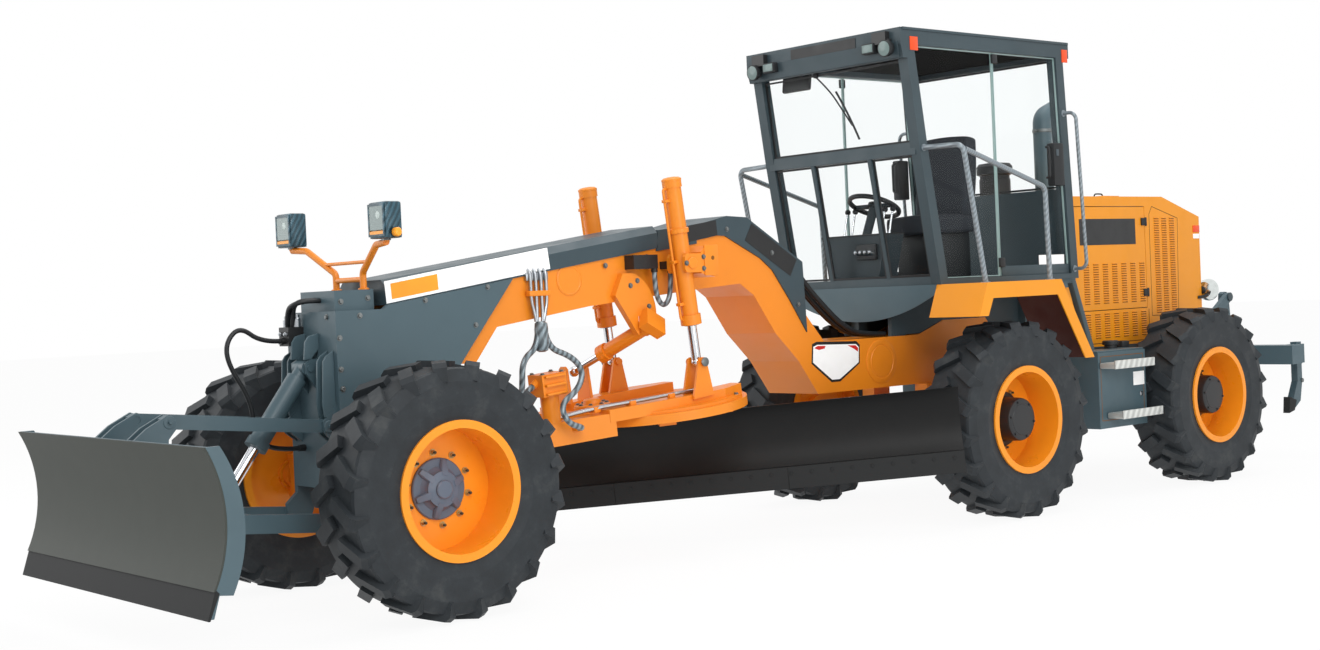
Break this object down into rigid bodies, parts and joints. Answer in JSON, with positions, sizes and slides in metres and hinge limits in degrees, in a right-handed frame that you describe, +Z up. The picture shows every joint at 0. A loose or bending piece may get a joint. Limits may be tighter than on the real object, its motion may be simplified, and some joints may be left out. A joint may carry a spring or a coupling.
{
  "type": "motor grader",
  "caption": "Six-wheeled motor grader with a turned moldboard under a gooseneck beam, a front dozer blade, a glazed cab, a rear engine hood and a rear ripper.",
  "frame": {"origin": "on the ground, in the machine's middle plane and midway along its length", "axes": "+X forward along the machine's length, +Y to the machine's left, +Z up"},
  "size_m": [10.849, 2.7341, 3.5491],
  "materials": {
    "tyre_rubber": "matt",
    "rim_paint": "gloss",
    "orange_paint": "semi-gloss",
    "yellow_paint": "semi-gloss",
    "slate_paint": "semi-gloss",
    "cover_paint": "satin",
    "black_paint": "satin",
    "dozer_paint": "satin",
    "bright_steel": "polished",
    "handrail_steel": "satin",
    "cab_glass": "clear",
    "console_plastic": "matt",
    "lamp_shell": "matt",
    "hose_rubber": "satin"
  },
  "bodies": {
    "chassis": {"main_frame": "orange_paint", "beam_covers": "cover_paint", "front_frame": "orange_paint", "axles": "orange_paint", "rear_frame": "slate_paint", "hood": "yellow_paint", "rear_grille": "black_paint", "side_boxes": "slate_paint", "fenders": "yellow_paint", "cab_floor": "slate_paint", "cab_frame": "slate_paint", "cab_panes": "cab_glass", "seat_and_console": "console_plastic", "guard_rails": "handrail_steel", "engine_and_exhaust": "black_paint", "lamps": "lamp_shell", "hose_fittings": "black_paint", "front_hose": "hose_rubber", "cover_hose": "hose_rubber"},
    "wheel_front_left": {"tyre_front_left": "tyre_rubber", "rim_front_left": "rim_paint"},
    "wheel_front_right": {"tyre_front_right": "tyre_rubber", "rim_front_right": "rim_paint"},
    "wheel_middle_left": {"tyre_middle_left": "tyre_rubber", "rim_middle_left": "rim_paint"},
    "wheel_middle_right": {"tyre_middle_right": "tyre_rubber", "rim_middle_right": "rim_paint"},
    "wheel_rear_left": {"tyre_rear_left": "tyre_rubber", "rim_rear_left": "rim_paint"},
    "wheel_rear_right": {"tyre_rear_right": "tyre_rubber", "rim_rear_right": "rim_paint"},
    "knuckle_left": {"knuckle_left": "orange_paint"},
    "knuckle_right": {"knuckle_right": "orange_paint"},
    "tie_rod": {"tie_rod": "orange_paint"},
    "drawbar": {"drawbar": "orange_paint", "front_bundle": "hose_rubber", "rear_bundle": "hose_rubber"},
    "circle": {"circle": "orange_paint"},
    "blade_carrier": {"blade_carrier": "orange_paint"},
    "moldboard": {"moldboard": "black_paint"},
    "lift_barrel_left": {"lift_barrel_left": "orange_paint"},
    "lift_barrel_right": {"lift_barrel_right": "orange_paint"},
    "lift_rod_left": {"lift_rod_left": "bright_steel"},
    "lift_rod_right": {"lift_rod_right": "bright_steel"},
    "swing_barrel": {"swing_barrel": "orange_paint"},
    "swing_rod": {"swing_rod": "bright_steel"},
    "blade_arms": {"blade_arms": "slate_paint"},
    "blade_links": {"blade_links": "slate_paint"},
    "front_blade": {"front_blade": "dozer_paint"},
    "blade_cylinder_barrel": {"blade_cylinder_barrel": "orange_paint"},
    "blade_cylinder_rod": {"blade_cylinder_rod": "bright_steel"},
    "ripper_arms": {"ripper_arms": "slate_paint"},
    "ripper_links": {"ripper_links": "slate_paint"},
    "ripper": {"ripper": "slate_paint"},
    "ripper_cylinder_barrel": {"ripper_cylinder_barrel": "orange_paint"},
    "ripper_cylinder_rod": {"ripper_cylinder_rod": "bright_steel"},
    "cab_door_left": {"cab_door_left": "cab_glass"},
    "cab_door_right": {"cab_door_right": "cab_glass"},
    "engine_door_left": {"engine_door_left": "yellow_paint"},
    "engine_door_right": {"engine_door_right": "yellow_paint"}
  },
  "joints": [
    {"name": "steer_left", "type": "hinge", "parent": "chassis", "child": "knuckle_left", "pos_m": [3.88, 0.715, 0.715], "axis": [0, 0, 1], "range_deg": [-28, 28]},
    {"name": "steer_right", "type": "hinge", "parent": "chassis", "child": "knuckle_right", "pos_m": [3.88, -0.715, 0.715], "axis": [0, 0, 1], "range_deg": [-28, 28]},
    {"name": "tie_rod_pivot", "type": "hinge", "parent": "knuckle_left", "child": "tie_rod", "pos_m": [3.62, 0.715, 0.684], "axis": [0, 0, 1], "range_deg": [-28, 28]},
    {"name": "wheel_front_left_spin", "type": "hinge", "parent": "knuckle_left", "child": "wheel_front_left", "pos_m": [3.88, 0.885, 0.715], "axis": [0, 1, 0], "continuous": true},
    {"name": "wheel_front_right_spin", "type": "hinge", "parent": "knuckle_right", "child": "wheel_front_right", "pos_m": [3.88, -0.885, 0.715], "axis": [0, 1, 0], "continuous": true},
    {"name": "wheel_middle_left_spin", "type": "hinge", "parent": "chassis", "child": "wheel_middle_left", "pos_m": [-0.95, 1, 0.715], "axis": [0, 1, 0], "continuous": true},
    {"name": "wheel_middle_right_spin", "type": "hinge", "parent": "chassis", "child": "wheel_middle_right", "pos_m": [-0.95, -1, 0.715], "axis": [0, 1, 0], "continuous": true},
    {"name": "wheel_rear_left_spin", "type": "hinge", "parent": "chassis", "child": "wheel_rear_left", "pos_m": [-3.47, 1, 0.715], "axis": [0, 1, 0], "continuous": true},
    {"name": "wheel_rear_right_spin", "type": "hinge", "parent": "chassis", "child": "wheel_rear_right", "pos_m": [-3.47, -1, 0.715], "axis": [0, 1, 0], "continuous": true},
    {"name": "drawbar_lift", "type": "hinge", "parent": "chassis", "child": "drawbar", "pos_m": [3.3, 0, 0.79], "axis": [0, 1, 0], "range_deg": [-10, 6]},
    {"name": "lift_barrel_left_pivot", "type": "hinge", "parent": "chassis", "child": "lift_barrel_left", "pos_m": [1.642, 0.44, 1.93], "axis": [0, 1, 0], "range_deg": [-2, 3]},
    {"name": "lift_rod_left_slide", "type": "slide", "parent": "lift_barrel_left", "child": "lift_rod_left", "axis": [-0.1267, 0, -0.9919], "range_m": [-0.19, 0.32]},
    {"name": "lift_barrel_right_pivot", "type": "hinge", "parent": "chassis", "child": "lift_barrel_right", "pos_m": [1.642, -0.44, 1.93], "axis": [0, 1, 0], "range_deg": [-2, 3]},
    {"name": "lift_rod_right_slide", "type": "slide", "parent": "lift_barrel_right", "child": "lift_rod_right", "axis": [-0.1267, 0, -0.9919], "range_m": [-0.19, 0.32]},
    {"name": "swing_barrel_pivot", "type": "hinge", "parent": "chassis", "child": "swing_barrel", "pos_m": [1.85, 0.3, 1.53], "axis": [-0.8631, -0.387, 0.3246], "range_deg": [-18, 11]},
    {"name": "swing_rod_slide", "type": "slide", "parent": "swing_barrel", "child": "swing_rod", "axis": [0.2335, -0.8755, -0.4231], "range_m": [-0.06, 0.1]},
    {"name": "circle_turn", "type": "hinge", "parent": "drawbar", "child": "circle", "pos_m": [1.55, 0, 0.965], "axis": [0.0872, 0, 0.9962], "range_deg": [-88, 0]},
    {"name": "blade_pitch", "type": "hinge", "parent": "circle", "child": "blade_carrier", "pos_m": [1.11515, -0.38901, 0.61657], "axis": [-0.692, 0.7193, 0.0605], "range_deg": [-5, 20]},
    {"name": "blade_side_shift", "type": "slide", "parent": "blade_carrier", "child": "moldboard", "axis": [-0.692, 0.7193, 0.0605], "range_m": [-0.44, 0]},
    {"name": "front_blade_lift", "type": "hinge", "parent": "chassis", "child": "blade_arms", "pos_m": [4.153, 0, 0.52], "axis": [0, -1, 0], "range_deg": [-17, 25]},
    {"name": "front_blade_link_pivot", "type": "hinge", "parent": "chassis", "child": "blade_links", "pos_m": [4.203, 0, 1.07], "axis": [0, -1, 0], "range_deg": [-17, 25]},
    {"name": "front_blade_pivot", "type": "hinge", "parent": "blade_arms", "child": "front_blade", "pos_m": [5.112, 0, 0.622], "axis": [0, -1, 0], "range_deg": [-25, 17]},
    {"name": "blade_cylinder_pivot", "type": "hinge", "parent": "chassis", "child": "blade_cylinder_barrel", "pos_m": [4.214, 0, 1.402], "axis": [0, -1, 0], "range_deg": [-3, 4.5]},
    {"name": "blade_cylinder_slide", "type": "slide", "parent": "blade_cylinder_barrel", "child": "blade_cylinder_rod", "axis": [0.6034, 0, -0.7975], "range_m": [-0.26, 0.18]},
    {"name": "ripper_lift", "type": "hinge", "parent": "chassis", "child": "ripper_arms", "pos_m": [-4.51, 0, 0.86], "axis": [0, 1, 0], "range_deg": [-45, 0]},
    {"name": "ripper_link_pivot", "type": "hinge", "parent": "chassis", "child": "ripper_links", "pos_m": [-4.51, 0, 1.15], "axis": [0, 1, 0], "range_deg": [-45, 0]},
    {"name": "ripper_pivot", "type": "hinge", "parent": "ripper_arms", "child": "ripper", "pos_m": [-5.03579, 0, 1.18855], "axis": [0, 1, 0], "range_deg": [0, 45]},
    {"name": "ripper_cylinder_pivot", "type": "hinge", "parent": "chassis", "child": "ripper_cylinder_barrel", "pos_m": [-4.49, 0, 1.25], "axis": [0, 1, 0], "range_deg": [-25, 0]},
    {"name": "ripper_cylinder_slide", "type": "slide", "parent": "ripper_cylinder_barrel", "child": "ripper_cylinder_rod", "axis": [-0.9136, 0, -0.4066], "range_m": [0, 0.25]},
    {"name": "cab_door_left_hinge", "type": "hinge", "parent": "chassis", "child": "cab_door_left", "pos_m": [-1.25, 0.76, 2.5], "axis": [0, 0, -1], "range_deg": [0, 60]},
    {"name": "cab_door_right_hinge", "type": "hinge", "parent": "chassis", "child": "cab_door_right", "pos_m": [-1.25, -0.76, 2.5], "axis": [0, 0, 1], "range_deg": [0, 60]},
    {"name": "engine_door_left_hinge", "type": "hinge", "parent": "chassis", "child": "engine_door_left", "pos_m": [-3.39, 0.609, 1.86], "axis": [0, 0, 1], "range_deg": [0, 100]},
    {"name": "engine_door_right_hinge", "type": "hinge", "parent": "chassis", "child": "engine_door_right", "pos_m": [-3.39, -0.609, 1.86], "axis": [0, 0, -1], "range_deg": [0, 100]}
  ],
  "couplings": [
    {"joint": "steer_right", "follows": "steer_left", "ratio": 1},
    {"joint": "tie_rod_pivot", "follows": "steer_left", "ratio": -1},
    {"joint": "lift_barrel_left_pivot", "follows": "drawbar_lift", "ratio": -0.25741},
    {"joint": "lift_rod_left_slide", "follows": "drawbar_lift", "m_per_rad": -1.796},
    {"joint": "lift_barrel_right_pivot", "follows": "drawbar_lift", "ratio": -0.25741},
    {"joint": "lift_rod_right_slide", "follows": "drawbar_lift", "m_per_rad": -1.796},
    {"joint": "swing_barrel_pivot", "follows": "drawbar_lift", "ratio": 1.7308},
    {"joint": "swing_rod_slide", "follows": "drawbar_lift", "m_per_rad": -0.56039},
    {"joint": "front_blade_link_pivot", "follows": "front_blade_lift", "ratio": 1},
    {"joint": "front_blade_pivot", "follows": "front_blade_lift", "ratio": -1},
    {"joint": "blade_cylinder_pivot", "follows": "front_blade_lift", "ratio": 0.16392},
    {"joint": "blade_cylinder_slide", "follows": "front_blade_lift", "m_per_rad": -0.58963},
    {"joint": "ripper_link_pivot", "follows": "ripper_lift", "ratio": 1},
    {"joint": "ripper_pivot", "follows": "ripper_lift", "ratio": -1},
    {"joint": "ripper_cylinder_pivot", "follows": "ripper_lift", "ratio": 0.54819},
    {"joint": "ripper_cylinder_slide", "follows": "ripper_lift", "m_per_rad": -0.31267}
  ]
}
